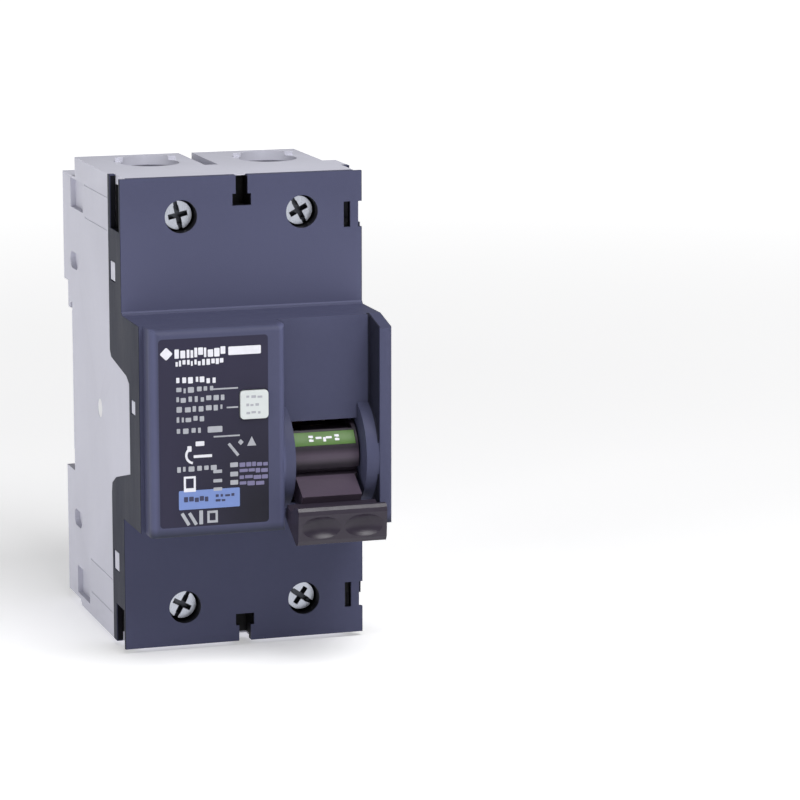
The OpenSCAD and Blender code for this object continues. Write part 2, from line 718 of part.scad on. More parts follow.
// Shapes drawn with the contacts closed, turned to the open position
module opened() {
    translate([0, shaft_y, shaft_z]) rotate([open_angle, 0, 0])
        translate([0, -shaft_y, -shaft_z]) children();
}
fixed_tip_y = strip_front - tip_t;
arm_back = fixed_tip_y - 0.05 - tip_t;
module contact_arm(sx) {
    x = sx * pole_x;
    color(copper_c) opened() {
        difference() {
            union() {
                rod_x(x - arm_t / 2, x + arm_t / 2, 7.2, shaft_y, shaft_z);
                side_plate(x - arm_t / 2, x + arm_t / 2)
                    polygon([[shaft_y - 2.6, shaft_z], [arm_back - 4.2, 24], [arm_back, 24],
                        [arm_back, 17.5], [shaft_y + 2.6, shaft_z]]);
            }
            rod_x(x - 3, x + 3, shaft_d + 2 * run, shaft_y, shaft_z);
        }
        rod_y(arm_back - 0.5, arm_back + tip_t, tip_d - 0.6, x, tip_z);
    }
}
module left_contact_arm() { contact_arm(-1); }
module right_contact_arm() { contact_arm(1); }
module fixed_contact(sx) {
    color(copper_c) {
        box([sx * pole_x - strip_w / 2, strip_front, 17], [sx * pole_x + strip_w / 2, strip_back, 48]);
        rod_y(fixed_tip_y, strip_front + 0.5, tip_d, sx * pole_x, tip_z);
    }
}
module left_fixed_contact() { fixed_contact(-1); }
module right_fixed_contact() { fixed_contact(1); }
module lower_terminal(sx, top) {
    color(copper_c)
        box([sx * pole_x - strip_w / 2, strip_front, -48], [sx * pole_x + strip_w / 2, strip_back, top]);
}
module left_lower_terminal() { lower_terminal(-1, -30.2); }
module right_lower_terminal() { lower_terminal(1, -27.4); }
module neutral_conductor() {
    color("#5f86c9") box([-17.2, strip_back, -33], [-15.2, strip_back + 2, -13.5]);
}
// Runs through the sensing coil and back to the right pole
module phase_conductor() {
    color("#8a5a3a") {
        box([-11.6, -43.5, -17.5], [21, -41.5, -15.5]);
        box([-11.6, -43.5, -17.5], [-9.6, strip_back + 2, -15.5]);
        box([-11.6, strip_back, -29.4], [-9.6, strip_back + 2, -15.5]);
        box([-11.6, strip_back, -29.4], [pole_x, strip_back + 2, -27.4]);
    }
}
module arc_chute(sx) {
    half = 8;
    color("#8f8f88") translate([sx * pole_x, 0, 0]) {
        for (s = [-1, 1]) box([s * half - 0.4, -25, 0], [s * half + 0.4, -2, 18]);
        box([-half, -3, 0], [half, -2, 18]);
        for (i = [0:7]) difference() {
            box([-half, -24, 0.6 + 2.3 * i], [half, -2.5, 1.4 + 2.3 * i]);
            translate([0, 0, 2.3 * i]) linear_extrude(2) polygon([[-4, -25], [4, -25], [0, -17]]);
        }
    }
}
module left_arc_chute() { arc_chute(-1); }
module right_arc_chute() { arc_chute(1); }
module left_braid() {
    color(copper_c) strap(-15.2, 3, 0.8, [[-34.65, -0.5], [-34.2, -3.2], [-32.4, -6.4], [-29, -8.6],
        [-26.6, -10.6], [-25.2, -13.45]]);
}
module right_braid() {
    color(copper_c) strap(pole_x, 3, 0.8, [[-41.1, 2], [-40.9, -0.5], [-41.3, -4], [-42.2, -8],
        [-42.7, -12], [-42.5, -15.45]]);
}

// ---- Overcurrent release ----

module coil_bobbin() {
    color("#e6e0cf") difference() {
        union() {
            rod_y(coil_y0, coil_y1, 6, pole_x, coil_z);
            for (y = [coil_y0, coil_y1 - 1]) rod_y(y, y + 1, 12.6, pole_x, coil_z);
        }
        rod_y(coil_y0 - past, coil_y1 + past, 2 * (plunger_r + run), pole_x, coil_z);
    }
}
module trip_coil() {
    front = coil_y0 + 1.05;
    pitch = 1.18;
    color("#b5652f") difference() {
        union() {
            rod_y(front, front + 5.8 * pitch, 10.8, pole_x, coil_z);
            for (i = [0:5]) rod_y(front + pitch * i, front + pitch * i + 1, 11.8, pole_x, coil_z);
        }
        rod_y(coil_y0, coil_y1, 6.1, pole_x, coil_z);
    }
}
module coil_yoke() {
    color(steel_c) difference() {
        box([pole_x - 4.5, -59.7, 3.8], [pole_x + 4.5, -48.3, 18.2]);
        box([pole_x - 5, coil_y0, 3], [pole_x + 5, coil_y1, 17]);
        rod_y(-50, -48, 2 + 2 * run, pole_x, coil_z);
    }
}
module trip_plunger() {
    color(steel_c) {
        rod_y(-57.4, -53, 2 * plunger_r, pole_x, coil_z);
        rod_y(-53.5, -48.6, 2, pole_x, coil_z);
    }
}
module plunger_spring() {
    color(steel_c) translate([pole_x, -52.95, coil_z]) rotate([-90, 0, 0]) coil(3.6, 0.4, 3.5, 4);
}
module bimetal_strip() {
    color("#b9b3a0") {
        box([17.5, -43.4, -15.5], [20.5, -40.4, -14.6]);
        box([17.5, -41.2, -15.5], [20.5, -40.4, 17.2]);
    }
}

// ---- Residual current side ----

module ring_z(r0, r1, z0, z1) {
    difference() {
        rod_z(z0, z1, 2 * r1, ring_x, ring_y);
        rod_z(z0 - past, z1 + past, 2 * r0, ring_x, ring_y);
    }
}
module sensing_winding() {
    color("#c98a4a") {
        difference() {
            ring_z(5.5, 9.6, ring_z0, ring_z1);
            ring_z(6.3, 8.8, ring_z0 - 1, ring_z1 - 0.9);
        }
        // Feet
        for (a = [90, 180, 270])
            rod_z(-31, ring_z0 + 1, 1.2, ring_x + 9.2 * cos(a), ring_y + 9.2 * sin(a));
    }
}
module sensing_core() {
    color("#6a6d72") ring_z(6.35, 8.55, ring_z0 + 0.1, ring_z1 - 0.95);
}
module trip_relay() {
    color("#2f3a44") difference() {
        box([-21, -55.2, 3], [-6, -48.6, 18.2]);
        rod_y(-52.2, -48, 2 + 2 * run, -pole_x, 9.5);
    }
}
module relay_pin() {
    color(steel_c) rod_y(-52, -47.8, 2, -pole_x, 9.5);
}
module circuit_board() {
    color("#2e6b45") {
        difference() {
            box([-23.8, board_y0, -19.6], [0.8, board_y1, 19.6]);
            for (x = [-22, -1]) rod_y(board_y0 - 1, board_y1 + 1, 1.6, x, 0);
        }
        // Pads that rest on the case
        for (x = [-21, -5], z = [-19.6, 18.4])
            box([x, board_y1 - 0.1, z], [x + 3, y_case_nose, z + 1.2]);
    }
    // Components on the back
    color("#22242a") {
        for (p = [[-20, -4], [-20, -14], [-7, -13]])
            box([p[0], board_y1 - 0.1, p[1]], [p[0] + 5, board_y1 + 1.4, p[1] + 3.6]);
        rod_y(board_y1 - 0.1, board_y1 + 4.5, 4.6, -4.4, -4);
    }
}
module test_button() {
    color("#e9eeec") {
        rounded_y(y_nose - 0.5, y_nose + 3, button_x, button_z, button_w, button_w, 0.8);
        rounded_y(y_nose + 2.1, y_nose + 3.3, button_x, button_z, button_w + 1.6, button_w + 1.6, 1);
        rod_y(y_nose + 3, stem_end, 2.6, button_x, button_z);
    }
}
module test_button_spring() {
    color(steel_c) translate([button_x, y_nose + 3.35, button_z]) rotate([-90, 0, 0]) coil(5, 0.4, 6.95, 6);
}
module test_contact() {
    color("#b9bcc2") difference() {
        rod_y(-59.2, board_y0, 7.6, button_x, button_z);
        rod_y(-60, stem_end + button_travel + 0.2, 3.8, button_x, button_z);
    }
}
module test_resistor() {
    color("#b89b72") {
        rod_x(-16, -9.5, 2.2, -54.6, -8);
        rod_x(-17.5, -8, 0.6, -54.6, -8);
        for (x = [-17.2, -8.3]) rod_y(board_y1, -54.4, 0.6, x, -8);
    }
}

left_outer_shell();
left_inner_shell();
right_inner_shell();
right_outer_shell();
front_cover();
rating_label();
case_rivets();
left_upper_seal();
right_upper_seal();
left_lower_seal();
right_lower_seal();
left_rail_clip();
right_rail_clip();
left_clip_spring();
right_clip_spring();
left_upper_screw();
right_upper_screw();
left_lower_screw();
right_lower_screw();
left_upper_cage();
right_upper_cage();
left_lower_cage();
right_lower_cage();
toggle_handle();
handle_grip();
contact_indicator();
toggle_pin();
toggle_spring();
mechanism_frame();
link_rod();
latch();
trip_bar();
contact_shaft();
left_contact_arm();
right_contact_arm();
left_fixed_contact();
right_fixed_contact();
left_lower_terminal();
right_lower_terminal();
neutral_conductor();
phase_conductor();
left_arc_chute();
right_arc_chute();
left_braid();
right_braid();
trip_coil();
coil_bobbin();
coil_yoke();
trip_plunger();
plunger_spring();
bimetal_strip();
sensing_core();
sensing_winding();
trip_relay();
relay_pin();
circuit_board();
test_button();
test_button_spring();
test_contact();
test_resistor();
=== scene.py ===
"""Looks for the residual current device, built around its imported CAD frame."""
import math
import random

import bmesh
import bpy
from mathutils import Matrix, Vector


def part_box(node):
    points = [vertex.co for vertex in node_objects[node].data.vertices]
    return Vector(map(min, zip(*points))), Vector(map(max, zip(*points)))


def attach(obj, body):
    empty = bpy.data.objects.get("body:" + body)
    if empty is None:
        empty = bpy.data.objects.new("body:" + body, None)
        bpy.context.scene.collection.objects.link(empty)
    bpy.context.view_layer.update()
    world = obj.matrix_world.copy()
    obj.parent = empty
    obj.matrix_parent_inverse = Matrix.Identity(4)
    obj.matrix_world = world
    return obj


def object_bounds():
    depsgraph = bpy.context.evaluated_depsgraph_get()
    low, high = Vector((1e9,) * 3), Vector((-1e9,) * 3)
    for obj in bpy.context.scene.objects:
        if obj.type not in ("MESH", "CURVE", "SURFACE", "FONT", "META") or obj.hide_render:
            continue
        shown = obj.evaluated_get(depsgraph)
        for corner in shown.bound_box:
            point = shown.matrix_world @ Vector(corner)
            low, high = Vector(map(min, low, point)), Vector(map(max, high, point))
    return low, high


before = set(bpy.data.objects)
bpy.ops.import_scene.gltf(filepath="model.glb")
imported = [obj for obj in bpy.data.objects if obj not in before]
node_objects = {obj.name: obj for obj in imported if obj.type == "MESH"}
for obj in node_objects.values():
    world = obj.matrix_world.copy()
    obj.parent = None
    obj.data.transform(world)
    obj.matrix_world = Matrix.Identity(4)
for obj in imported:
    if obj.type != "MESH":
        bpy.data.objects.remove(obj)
cad_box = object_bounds()
MM = 0.001


# ---------------------------------------------------------------- node trees

# Places of the Mix node's factor and of its two colours among its inputs, and of its colour output
MIX_INPUTS = (0, 6, 7)
MIX_OUTPUT = 2


class Graph:
    """A small builder for a node tree. Colours are linear RGB."""

    def __init__(self, tree):
        self.tree = tree

    def feed(self, socket, value):
        """Give a socket a constant, or link it to another socket."""
        if isinstance(value, bpy.types.NodeSocket):
            self.tree.links.new(value, socket)
        elif socket.type == "RGBA":
            socket.default_value = (*value, 1.0)
        else:
            socket.default_value = value

    def node(self, kind, inputs=(), **settings):
        """A new node; settings are its properties and inputs map socket names to values."""
        n = self.tree.nodes.new(kind)
        for key, value in settings.items():
            setattr(n, key, value)
        for key, value in dict(inputs).items():
            self.feed(n.inputs[key], value)
        return n

    def maths(self, op, *values):
        n = self.node("ShaderNodeMath", operation=op)
        for socket, value in zip(n.inputs, values):
            self.feed(socket, value)
        return n.outputs[0]

    def range(self, value, lo, hi, a=0.0, b=1.0):
        """Map lo..hi to a..b and hold it there."""
        inputs = {"Value": value, "From Min": lo, "From Max": hi, "To Min": a, "To Max": b}
        return self.node("ShaderNodeMapRange", inputs).outputs["Result"]

    def split(self, vector):
        """The x, y and z of a vector."""
        return self.node("ShaderNodeSeparateXYZ", {"Vector": vector}).outputs


class Mat(Graph):
    """A material with one principled shader. Limits of masks are in millimetres."""

    def __init__(self, name):
        self.material = bpy.data.materials.new(name)
        self.material.use_nodes = True
        super().__init__(self.material.node_tree)
        self.shader = self.tree.nodes["Principled BSDF"]
        self.position = self.node("ShaderNodeTexCoord").outputs["Object"]

    def set(self, **inputs):
        """Values for the shader's inputs, with _ for each space in a name."""
        for key, value in inputs.items():
            self.feed(self.shader.inputs[key.replace("_", " ")], value)

    # Patterns

    def mapped(self, scale=(1, 1, 1), rot=(0, 0, 0)):
        inputs = {"Scale": scale, "Rotation": rot, "Vector": self.position}
        return self.node("ShaderNodeMapping", inputs).outputs["Vector"]

    def noise(self, scale, detail=4.0, rough=0.55, vec=None):
        inputs = {"Scale": scale, "Detail": detail, "Roughness": rough,
                  "Vector": vec or self.position}
        return self.node("ShaderNodeTexNoise", inputs).outputs["Fac"]

    def cells(self, scale):
        inputs = {"Scale": scale, "Vector": self.position}
        return self.node("ShaderNodeTexVoronoi", inputs).outputs["Distance"]

    def bands(self, direction, scale, vec):
        inputs = {"Scale": scale, "Vector": vec}
        wave = self.node("ShaderNodeTexWave", inputs, wave_type="BANDS", bands_direction=direction)
        return wave.outputs["Fac"]

    def edges(self, lo, hi):
        """0 on flat faces, 1 on convex edges."""
        return self.range(self.node("ShaderNodeNewGeometry").outputs["Pointiness"], lo, hi)

    def bump(self, height, strength, distance):
        inputs = {"Strength": strength, "Distance": distance, "Height": height}
        return self.node("ShaderNodeBump", inputs).outputs["Normal"]

    # Colours

    def ramp(self, fac, *stops):
        """Colours between two stops, each a position and a colour."""
        n = self.node("ShaderNodeValToRGB", {"Fac": fac})
        for stop, (position, colour) in zip(n.color_ramp.elements, stops):
            stop.position = position
            stop.color = (*colour, 1.0)
        return n.outputs["Color"]

    def mix(self, fac, a, b):
        n = self.node("ShaderNodeMix", data_type="RGBA")
        for place, value in zip(MIX_INPUTS, (fac, a, b)):
            self.feed(n.inputs[place], value)
        return n.outputs[MIX_OUTPUT]

    def tint(self, mask, colour, strength=1.0):
        """Lay a colour over the base colour where the mask is 1."""
        plain = self.shader.inputs["Base Color"].links[0].from_socket
        if strength < 1:
            mask = self.maths("MULTIPLY", mask, strength)
        self.set(Base_Color=self.mix(mask, plain, colour))

    # Masks

    def above(self, value, limit):
        return self.maths("GREATER_THAN", value, limit * MM)

    def below(self, value, limit):
        return self.maths("LESS_THAN", value, limit * MM)

    def all_of(self, first, *others):
        """1 where every mask is 1."""
        for other in others:
            first = self.maths("MULTIPLY", first, other)
        return first

    def within(self, value, lo, hi):
        return self.all_of(self.above(value, lo), self.below(value, hi))

    def fade(self, value, lo, hi):
        """0 at lo to 1 at hi."""
        return self.range(value, lo * MM, hi * MM)


def lin(r, g, b):
    """sRGB 0-255 to linear."""
    f = lambda c: c / 12.92 if c <= 0.04045 else ((c + 0.055) / 1.055) ** 2.4
    return tuple(f(v / 255) for v in (r, g, b))


def shade(colour, k):
    return tuple(v * k for v in colour)


def paler(colour, gain, lift=0.0):
    return tuple(min(1.0, v * gain + lift) for v in colour)


# ---------------------------------------------------------------- materials

# Scales of the noises, in cells per metre
DRIFT_SCALE = 38
DUST_SCALE = 900
HANDLING_SCALE = 140
RIPPLE_SCALE = 2600
BRUSH_SCALE = 420
STAIN_SCALE = 160
# Depths of the fine relief, in metres
GRAIN_DEPTH = 0.00005
BRUSH_DEPTH = 0.00004


def moulded(name, base, rough=0.5, grain=0.22, grain_scale=5200, mottle=0.05, edge_wear_and_highlight=0.12,
            scuff=0.06, spec=0.5):
    """Moulded plastic: spark-eroded grain, slow colour drift, handling marks and paler edges,
    partly wear and partly painted highlight.
    """
    m = Mat(name)
    drift = m.ramp(m.noise(DRIFT_SCALE, 3), (0.3, shade(base, 1 - mottle)),
                   (0.7, shade(base, 1 + mottle)))
    dust = m.ramp(m.noise(DUST_SCALE, 5), (0.35, shade(base, 1 - mottle * 0.6)),
                  (0.65, shade(base, 1 + mottle * 0.8)))
    # Paler edges: partly wear, partly painted highlight on rounded edges
    worn = m.maths("MULTIPLY", m.edges(0.51, 0.6), edge_wear_and_highlight)
    marks = m.noise(HANDLING_SCALE, 6, 0.7, m.mapped((1, 1, 0.22)))
    ripple = m.maths("MULTIPLY", m.noise(RIPPLE_SCALE, 3), 0.7)
    relief = m.maths("ADD", m.cells(grain_scale), ripple)
    m.set(Base_Color=m.mix(worn, m.mix(0.35, drift, dust), paler(base, 1.25, 0.012)),
          Roughness=m.range(marks, 0.35, 0.75, rough - scuff, rough + scuff),
          Normal=m.bump(relief, grain, GRAIN_DEPTH),
          Specular_IOR_Level=spec)
    return m


def metal(name, base, rough=0.32, brush=(1, 60, 1), tint=0.06, bump=0.12):
    """Plated or rolled metal, brushed along one direction, with stains and bright edges."""
    m = Mat(name)
    lines = m.noise(BRUSH_SCALE, 4, 0.6, m.mapped(brush))
    brushed = m.ramp(lines, (0.3, shade(base, 1 - tint)), (0.7, shade(base, 1 + tint)))
    stained = m.ramp(m.noise(STAIN_SCALE, 4), (0.35, shade(base, 0.86)), (0.65, base))
    worn = m.maths("MULTIPLY", m.edges(0.5, 0.62), 0.2)
    m.set(Base_Color=m.mix(worn, m.mix(0.5, brushed, stained), paler(base, 1.3)),
          Roughness=m.range(lines, 0.25, 0.8, rough - 0.08, rough + 0.12),
          Normal=m.bump(lines, bump, BRUSH_DEPTH),
          Metallic=1.0)
    return m


# Middle of the drum's bright band, between its two bands of painted shade, in degrees above the
# drum's front at rest
BAND_ANGLE = 2.0
# Middle of the indicator strip, in degrees from the back of the drum over its top
STRIP_ANGLE = 146.5
# Where the two upright rims of the label block have their middles, as x in millimetres; painted
# highlights are laid along them
HIGHLIT_LABEL_RIMS = (-25.5, 2.6)


def case_material():
    """Light grey moulding; the faces that lie behind the cover's slots and notches carry painted
    shade, coloured near black.
    """
    m = moulded("case_moulding", lin(194, 194, 206), rough=0.55, grain=0.2, mottle=0.03,
                edge_wear_and_highlight=0.3, spec=0.4)
    x, y, z = m.split(m.position)
    width, height = m.maths("ABSOLUTE", x), m.maths("ABSOLUTE", z)
    front = m.below(y, -38.4)
    between_rims, ends = m.below(width, 24.65), m.above(height, 38)
    # In the middle slots the painted shade reaches further out, toward the top and bottom edges
    slot_reach = m.maths("MULTIPLY", m.below(width, 2.5), 1.7 * MM)
    painted_shade_behind_cover = m.below(m.maths("SUBTRACT", height, slot_reach), 49.45)
    # Painted shade: the covered faces seen through the slots and notches are coloured near black
    m.tint(m.all_of(front, painted_shade_behind_cover, m.maths("MAXIMUM", between_rims, ends)), lin(16, 16, 20))
    return m


def cover_material():
    """Slate moulding with painted light: lighter toward the nose, painted highlights on the label
    block's upright rims, and painted shade on the outer sides, the nose's foot, the toggle well's
    wall and the walls of its screw holes, slots and notches.
    """
    m = moulded("cover_moulding", lin(72, 74, 98), grain=0.25, mottle=0.06, spec=0.1)
    x, y, z = m.split(m.position)
    width, height = m.maths("ABSOLUTE", x), m.maths("ABSOLUTE", z)

    # Painted light: the upper plate is made lighter toward the nose, where the nose shades it
    painted_light_toward_nose = m.all_of(m.fade(z, 47, 26), m.above(z, 0), m.above(y, -47.9))
    m.tint(painted_light_toward_nose, lin(85, 87, 113))
    # Painted highlights along the label block's two rounded upright rims
    for middle in HIGHLIT_LABEL_RIMS:
        off = m.maths("ABSOLUTE", m.maths("SUBTRACT", x, middle * MM))
        m.tint(m.all_of(m.fade(off, 0.9, 0.3), m.below(y, -67)), lin(104, 108, 146), 0.28)
    # Painted shade on the outer side walls
    shaded_outer_sides = m.above(width, 26.9)
    m.tint(shaded_outer_sides, lin(35, 38, 54))
    # Painted shade on the nose's lower lip
    shaded_nose_foot = m.all_of(m.fade(z, -20.2, -21.8), m.below(y, -66.5))
    m.tint(shaded_nose_foot, lin(44, 47, 58), 0.8)
    # Painted shade on the well's right wall beside the cheek
    shaded_cheek_wall = m.all_of(m.within(x, 23.8, 24.5), m.within(y, -69, -60.5))
    m.tint(shaded_cheek_wall, lin(38, 39, 52))
    # Painted shade on the walls of the screw holes, slots and notches
    shaded_hole_walls = m.all_of(m.within(y, -47.2, -38.3), m.within(height, 23.5, 51.3),
                          m.below(width, 26.8))
    m.tint(shaded_hole_walls, lin(20, 20, 26))
    return m


def label_material():
    """Dark printed film that is a little darker towards its lower right corner."""
    m = moulded("label_film", lin(42, 40, 60), rough=0.42, grain=0.08, grain_scale=9000,
                mottle=0.04, scuff=0.08, spec=0.2)
    x, _, z = m.split(m.position)
    m.tint(m.all_of(m.fade(x, -22, -4), m.fade(z, 14, -16)), lin(20, 20, 26), 0.75)
    return m


def toggle_material():
    """Dark purple-grey moulding, with painted shade in the drum's two hollows beside its middle
    band.
    """
    m = moulded("toggle_moulding", lin(75, 64, 79), rough=0.38, grain=0.16, mottle=0.08,
                spec=0.4)
    pin_low, pin_high = (Vector(v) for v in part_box("toggle_pin"))
    axis = (pin_low + pin_high) / 2
    _, y, z = m.split(m.position)
    up, back = m.maths("SUBTRACT", z, axis.z), m.maths("SUBTRACT", y, axis.y)
    angle = m.maths("ARCTAN2", up, m.maths("MULTIPLY", back, -1.0))
    off_band = m.maths("ABSOLUTE", m.maths("SUBTRACT", angle, math.radians(BAND_ANGLE)))
    drum_painted_shade = m.range(off_band, math.radians(3), math.radians(13))
    squares = m.maths("ADD", m.maths("MULTIPLY", up, up), m.maths("MULTIPLY", back, back))
    on_drum = m.below(m.maths("SQRT", squares), 7.7)
    # Painted shade: the drum darkens on both sides of its bright middle band
    m.tint(m.all_of(drum_painted_shade, on_drum), lin(18, 15, 22), 0.75)
    return m


def screw_material():
    """Zinc-plated steel; the walls and floor of the slot and cross recess carry painted shade."""
    m = metal("screw_steel", lin(186, 190, 200), rough=0.3, brush=(30, 30, 1), tint=0.16,
              bump=0.25)
    y = m.split(m.position)["Y"]
    # Painted shade inside the slot and cross recess
    m.tint(m.within(y, -44.45, -42.3), lin(70, 72, 78))
    return m


def braid_material():
    m = Mat("woven_braid")
    over = m.bands("DIAGONAL", 1500, m.mapped(rot=(0, 0, 0.8)))
    under = m.bands("DIAGONAL", 1500, m.mapped((-1, 1, 1)))
    weave = m.maths("MULTIPLY", over, under)
    base = lin(205, 125, 82)
    m.set(Base_Color=m.ramp(weave, (0.0, shade(base, 0.45)), (0.6, base)),
          Normal=m.bump(weave, 0.5, 0.0001), Metallic=1.0, Roughness=0.36)
    return m


def winding_material():
    m = Mat("enamelled_winding")
    turns = m.bands("Y", 520, m.position)
    base = lin(176, 88, 44)
    m.set(Base_Color=m.ramp(turns, (0.1, shade(base, 0.5)), (0.8, base)),
          Normal=m.bump(turns, 0.5, 0.0002), Metallic=0.6, Roughness=0.26, Coat_Weight=0.6)
    return m


def board_material():
    m = Mat("board_laminate")
    weave = m.cells(2600)
    base = lin(38, 104, 64)
    flat = m.mapped((1, 0.001, 1), (math.pi / 2, 0, 0))
    tracks = m.node("ShaderNodeTexBrick", {"Scale": 130, "Mortar Size": 0.03, "Vector": flat},
                    offset=0.5)
    tracked = m.mix(m.range(tracks.outputs["Fac"], 0, 1), shade(base, 0.8), shade(base, 1.35))
    woven = m.ramp(weave, (0.2, shade(base, 0.8)), (0.8, base))
    m.set(Base_Color=m.mix(0.2, tracked, woven), Normal=m.bump(weave, 0.15, 0.00003),
          Roughness=0.3, Coat_Weight=0.4)
    return m


case_mat = case_material()
cover_mat = cover_material()
seal_mat = moulded("seal_moulding", lin(96, 96, 108), grain=0.12, mottle=0.03)
clip_mat = moulded("clip_moulding", lin(222, 222, 224), rough=0.45, grain=0.12, mottle=0.03)
toggle_mat = toggle_material()
grip_mat = moulded("grip_moulding", lin(44, 38, 50), rough=0.36, grain=0.16, mottle=0.1,
                   edge_wear_and_highlight=0.3, spec=0.35)
label_mat = label_material()
green_mat = moulded("indicator_green", lin(74, 110, 46), rough=0.4, grain=0.08, mottle=0.12,
                    spec=0.3)
button_mat = moulded("button_moulding", lin(198, 203, 203), rough=0.38, grain=0.08,
                     mottle=0.03, scuff=0.05)
bar_mat = moulded("bar_moulding", lin(60, 92, 150), rough=0.45, grain=0.15)
shaft_mat = moulded("shaft_moulding", lin(52, 52, 58), grain=0.2)
bobbin_mat = moulded("bobbin_moulding", lin(226, 220, 200), grain=0.15)
relay_mat = moulded("relay_moulding", lin(44, 54, 64), rough=0.45, grain=0.2)
resistor_mat = moulded("resistor_lacquer", lin(188, 150, 104), rough=0.35, grain=0.05, mottle=0.15)
steel_mat = metal("zinc_steel", lin(178, 180, 186), rough=0.34)
screw_mat = screw_material()
spring_mat = metal("spring_wire", lin(168, 168, 172), rough=0.25, brush=(1, 1, 90))
copper_mat = metal("copper_strip", lin(214, 140, 100), rough=0.28, brush=(1, 1, 70))
cage_mat = metal("clamp_plating", lin(214, 186, 120), rough=0.3, brush=(60, 1, 1))
bimetal_mat = metal("bimetal_strip", lin(196, 186, 160), rough=0.3, brush=(1, 1, 60))
core_mat = metal("core_tape", lin(150, 152, 156), rough=0.3, brush=(1, 1, 12))
braid_mat = braid_material()
winding_mat = winding_material()
board_mat = board_material()


def ink(name, colour, mottle=0.12):
    return moulded(name, colour, rough=0.4, grain=0.05, mottle=mottle, edge_wear_and_highlight=0.0)


ink_mat = ink("print_ink", lin(214, 214, 222))
faint_ink_mat = ink("print_faint_ink", lin(160, 162, 170), mottle=0.15)
grey_ink_mat = ink("print_grey_ink", lin(112, 108, 142))
blue_ink_mat = ink("print_blue_ink", lin(108, 130, 186), mottle=0.06)
dark_ink_mat = ink("print_dark_ink", lin(44, 46, 78), mottle=0.1)

LOOK = {
    "front_cover": cover_mat, "rating_label": label_mat, "case_rivets": clip_mat,
    "toggle_handle": toggle_mat, "handle_grip": grip_mat, "contact_indicator": green_mat,
    "toggle_pin": steel_mat, "mechanism_frame": steel_mat, "link_rod": spring_mat,
    "latch": steel_mat, "trip_bar": bar_mat, "contact_shaft": shaft_mat,
    "trip_coil": winding_mat, "coil_bobbin": bobbin_mat, "coil_yoke": steel_mat,
    "trip_plunger": steel_mat, "bimetal_strip": bimetal_mat, "sensing_core": core_mat,
    "sensing_winding": winding_mat, "trip_relay": relay_mat, "relay_pin": steel_mat,
    "circuit_board": board_mat, "test_button": button_mat, "test_contact": steel_mat,
    "test_resistor": resistor_mat,
}
# For the nodes that LOOK does not list; the first word found in a name counts
LOOK_BY_WORD = (
    ("shell", case_mat), ("seal", seal_mat), ("rail_clip", clip_mat), ("spring", spring_mat),
    ("screw", screw_mat), ("cage", cage_mat), ("chute", steel_mat), ("braid", braid_mat),
    ("contact", copper_mat), ("terminal", copper_mat), ("conductor", copper_mat),
)


def look_of(name):
    if name in LOOK:
        return LOOK[name]
    for word, mat in LOOK_BY_WORD:
        if word in name:
            return mat
    raise SystemExit("no material for " + name)


# Width of the softened edges, in millimetres
BEVEL = {
    "front_cover": 0.35, "left_outer_shell": 0.25, "right_outer_shell": 0.25,
    "left_inner_shell": 0.2, "right_inner_shell": 0.2, "handle_grip": 0.35,
    "toggle_handle": 0.3, "test_button": 0.15, "rating_label": 0.08,
}
SHARP_ANGLE = math.radians(40)

for name, obj in node_objects.items():
    obj.data.materials.clear()
    obj.data.materials.append(look_of(name).material)
    if name in BEVEL:
        bev = obj.modifiers.new("edges", "BEVEL")
        bev.width = BEVEL[name] * MM
        bev.segments = 2
        bev.limit_method = "ANGLE"
        bev.angle_limit = SHARP_ANGLE
        bev.harden_normals = True


# ---------------------------------------------------------------- printed marks

# Thickness of a patch of print, in millimetres. Each patch is PATCH_STEP thicker than the one
# before, so that patches that overlap do not lie in one plane, until PATCH_CYCLE of them are made.
PATCH_THICK = 0.03
PATCH_STEP = 0.0006
PATCH_CYCLE = 40
# How deep the back of a print is sunk into the surface it lies on, in millimetres
SUNK = 0.01


